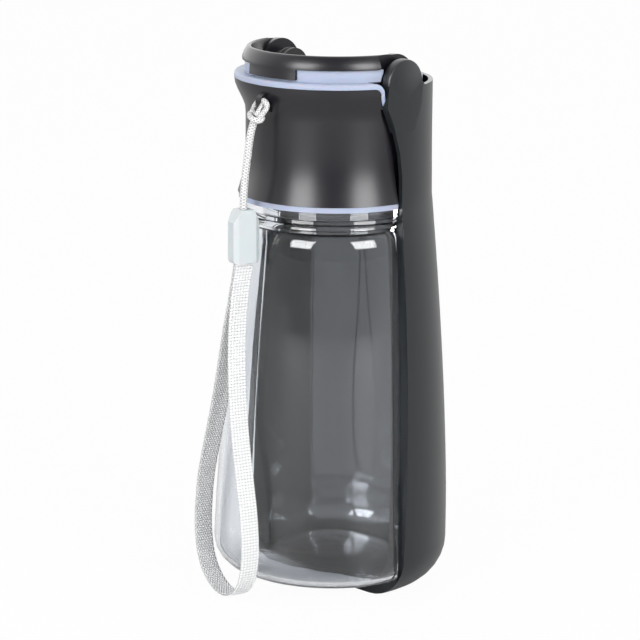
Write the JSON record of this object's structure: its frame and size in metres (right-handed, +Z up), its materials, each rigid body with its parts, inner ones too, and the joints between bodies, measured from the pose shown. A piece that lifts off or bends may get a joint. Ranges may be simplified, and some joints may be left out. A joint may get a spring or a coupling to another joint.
{
  "type": "dog travel water bottle",
  "caption": "Round travel water bottle with a screw-on drinking head, a half-round trough that folds down its back and swings up over the mouth, and a hanging wrist strap.",
  "frame": {"origin": "on the surface it stands on, under the axis of the bottle, inside the trough's flat foot", "axes": "+Z up along the bottle's axis, +X along the trough's hinge axis, -Y the front with the guard and the strap, +Y the side the folded trough covers"},
  "size_m": [0.0892, 0.1004, 0.2074],
  "materials": {
    "clear_smoke": "clear, tinted smoke grey, polished",
    "black_shell": "smooth, soft gloss",
    "black_trough": "smooth, soft gloss",
    "black_inner": "as moulded",
    "blue_silicone": "matt, slightly translucent",
    "black_rubber": "matt",
    "washer": "matt",
    "white_webbing": "woven",
    "pale_clamp": "frosted, slightly translucent"
  },
  "bodies": {
    "bottle": {"bottle_body": "clear_smoke", "neck_gasket": "blue_silicone", "collar": "black_shell", "inner_cap": "black_inner", "top_seal": "blue_silicone", "valve_seat": "blue_silicone", "mouth_ring": "black_shell", "hinge_washer_left": "washer", "hinge_washer_right": "washer", "lanyard_cord": "white_webbing", "cord_knot": "white_webbing", "cord_clamp_front": "pale_clamp", "cord_clamp_back": "pale_clamp", "wrist_strap": "white_webbing"},
    "trough": {"trough": "black_trough", "valve_barrel": "black_inner", "barrel_o_ring_left": "black_rubber", "barrel_o_ring_right": "black_rubber", "hinge_shaft_left": "black_inner", "hinge_shaft_right": "black_inner"}
  },
  "joints": [
    {"name": "trough_hinge", "type": "hinge", "parent": "bottle", "child": "trough", "pos_m": [0, 0, 0.1966], "axis": [1, 0, 0], "range_deg": [0, 180]}
  ]
}
